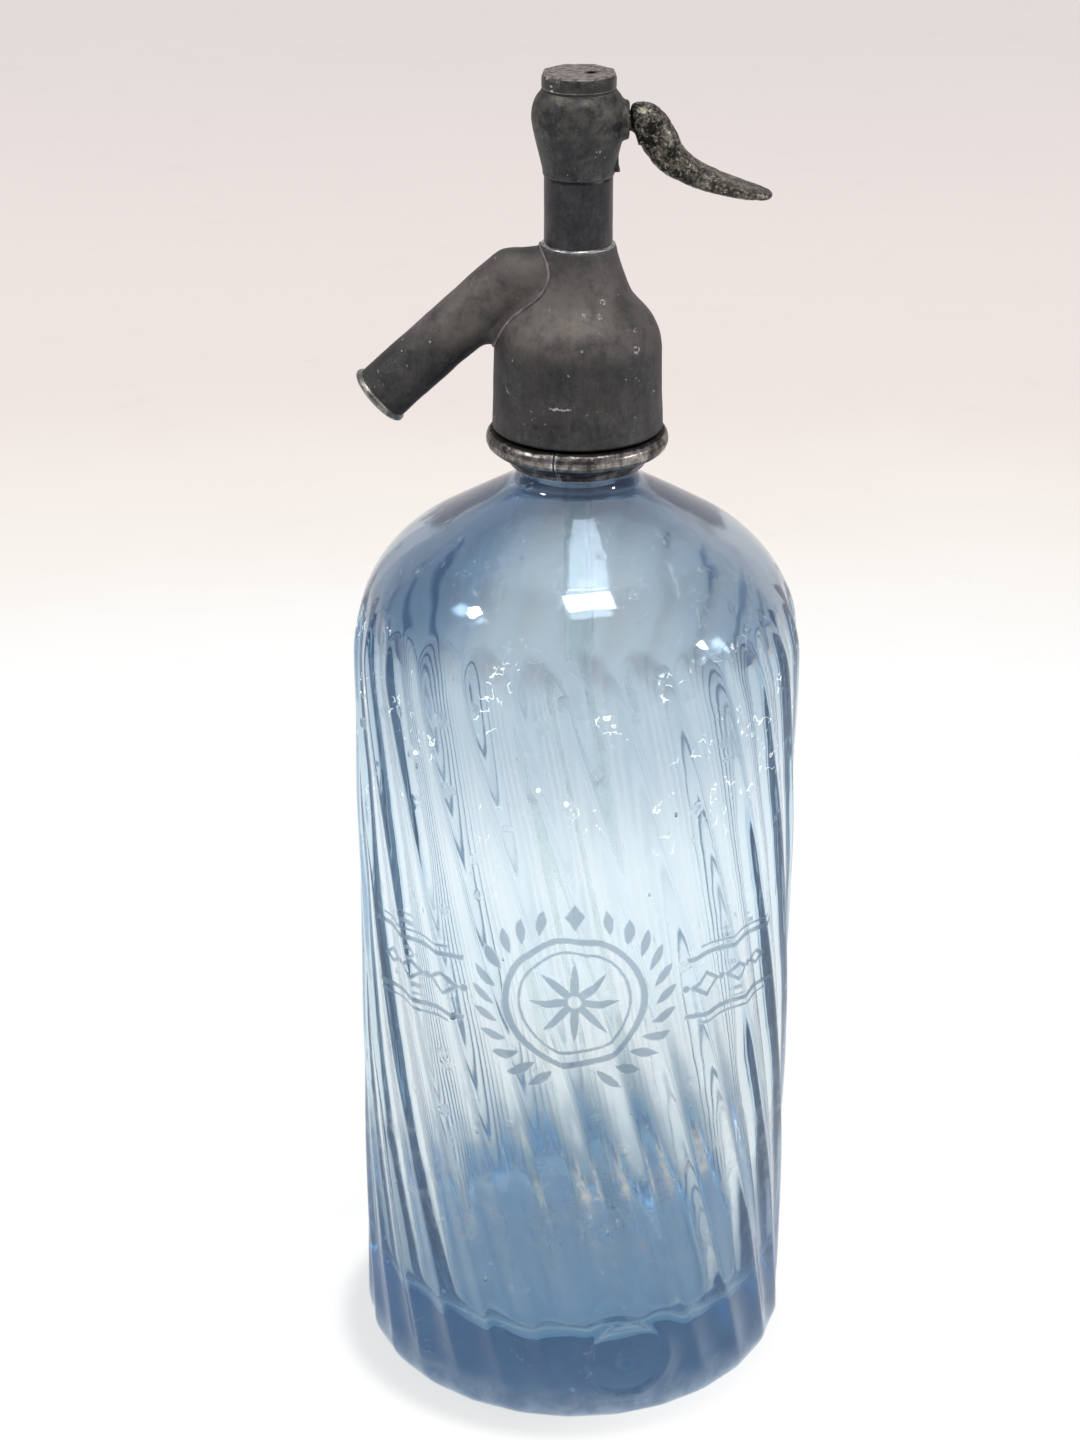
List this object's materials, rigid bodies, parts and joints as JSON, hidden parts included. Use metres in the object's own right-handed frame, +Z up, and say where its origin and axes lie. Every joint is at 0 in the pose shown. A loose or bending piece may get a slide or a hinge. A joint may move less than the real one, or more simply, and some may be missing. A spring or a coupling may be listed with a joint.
{
  "type": "soda siphon",
  "caption": "Fluted blue glass soda siphon with a cast metal head, side spout, split neck collar and a sprung thumb lever that lifts the inner valve.",
  "frame": {"origin": "centre of the bottle's foot, on the surface it stands on", "axes": "+Z up along the bottle's axis, spout towards -X, lever towards +X, lever pin along Y"},
  "size_m": [0.1008, 0.1008, 0.3084],
  "materials": {
    "bottle_glass": "pressed pale blue glass, fluted, with an etched band",
    "tube_glass": "clear drawn tube",
    "pewter": "tarnished cast pewter, pitted",
    "barrel_metal": "smooth dark tarnish",
    "collar_metal": "worn bronze grey",
    "solder": "bright rubbed solder",
    "lever_brass": "corroded brass, black in the hollows",
    "brass": "turned",
    "steel": "drawn",
    "rubber": "aged",
    "leather": "greased"
  },
  "bodies": {
    "bottle_and_head": {"bottle": "bottle_glass", "dip_tube": "tube_glass", "collar_half_spout_side": "collar_metal", "collar_half_lever_side": "collar_metal", "neck_gasket": "rubber", "tube_seal": "rubber", "tube_ferrule": "brass", "valve_seat": "brass", "head_bell": "pewter", "spout": "pewter", "spout_rim": "pewter", "barrel_ring": "solder", "barrel_tube": "barrel_metal", "lever_housing": "pewter", "cap_washer": "leather", "top_cap": "pewter", "lever_pin": "steel", "stem_packing": "leather", "packing_gland": "brass", "return_spring": "steel"},
    "lever": {"lever": "lever_brass"},
    "valve": {"valve_washer": "rubber", "washer_cup": "brass", "valve_stem": "brass", "spring_collar": "brass", "stem_yoke": "brass"}
  },
  "joints": [
    {"name": "lever_press", "type": "hinge", "parent": "bottle_and_head", "child": "lever", "pos_m": [0.0082, 0, 0.298], "axis": [0, 1, 0], "range_deg": [0, 15], "stiffness_Nm_per_rad": 0.2, "springref_deg": -68.75},
    {"name": "valve_lift", "type": "slide", "parent": "bottle_and_head", "child": "valve", "axis": [0, 0, 1], "range_m": [0, 0.0022], "deforming": ["return_spring"]}
  ],
  "couplings": [
    {"joint": "valve_lift", "follows": "lever_press", "m_per_rad": 0.0082}
  ]
}
